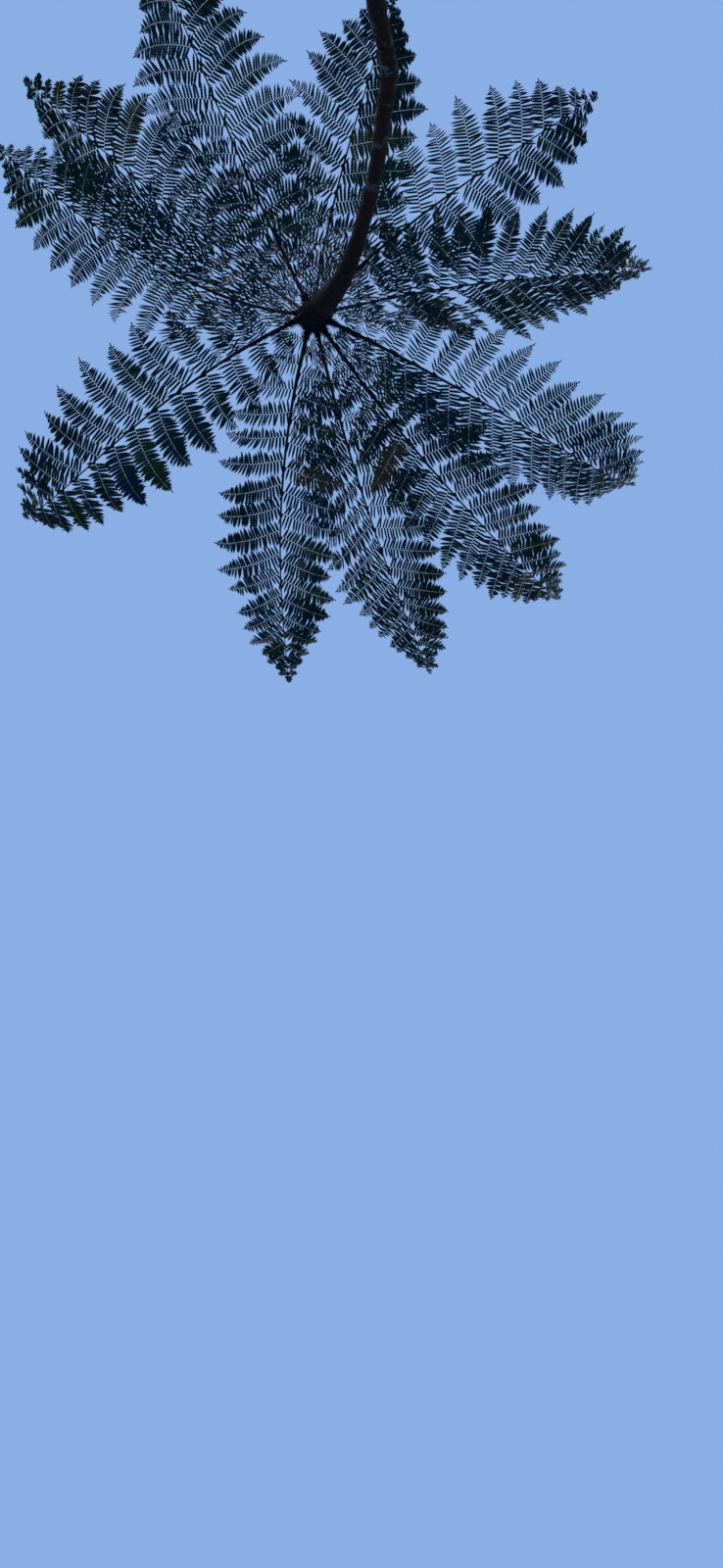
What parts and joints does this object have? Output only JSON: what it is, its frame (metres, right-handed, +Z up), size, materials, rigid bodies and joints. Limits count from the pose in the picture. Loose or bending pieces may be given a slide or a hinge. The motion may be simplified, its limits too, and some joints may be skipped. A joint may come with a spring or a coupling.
{
  "type": "tree fern",
  "caption": "Tall slender tree fern with a leaning, gently bent trunk, flared root mantle and a spreading crown of arching, finely divided fronds round rolled-up croziers.",
  "frame": {"origin": "middle of the flat cut under the trunk, at ground level", "axes": "+Z up; the trunk leans towards +Y, and +X is to the right of someone under it who looks along +Y"},
  "size_m": [4.399, 4.6366, 11.0395],
  "materials": {
    "bark": "rough, fibrous",
    "foliage": "satin leaf",
    "stalk": "scaly, matt"
  },
  "bodies": {
    "root": {"trunk": "bark", "frond-01": "foliage", "frond-02": "foliage", "frond-03": "foliage", "frond-04": "foliage", "frond-05": "foliage", "frond-06": "foliage", "frond-07": "foliage", "frond-08": "foliage", "frond-09": "foliage", "frond-10": "foliage", "frond-11": "foliage", "crozier-1": "stalk", "crozier-2": "stalk", "crozier-3": "stalk"}
  },
  "joints": []
}
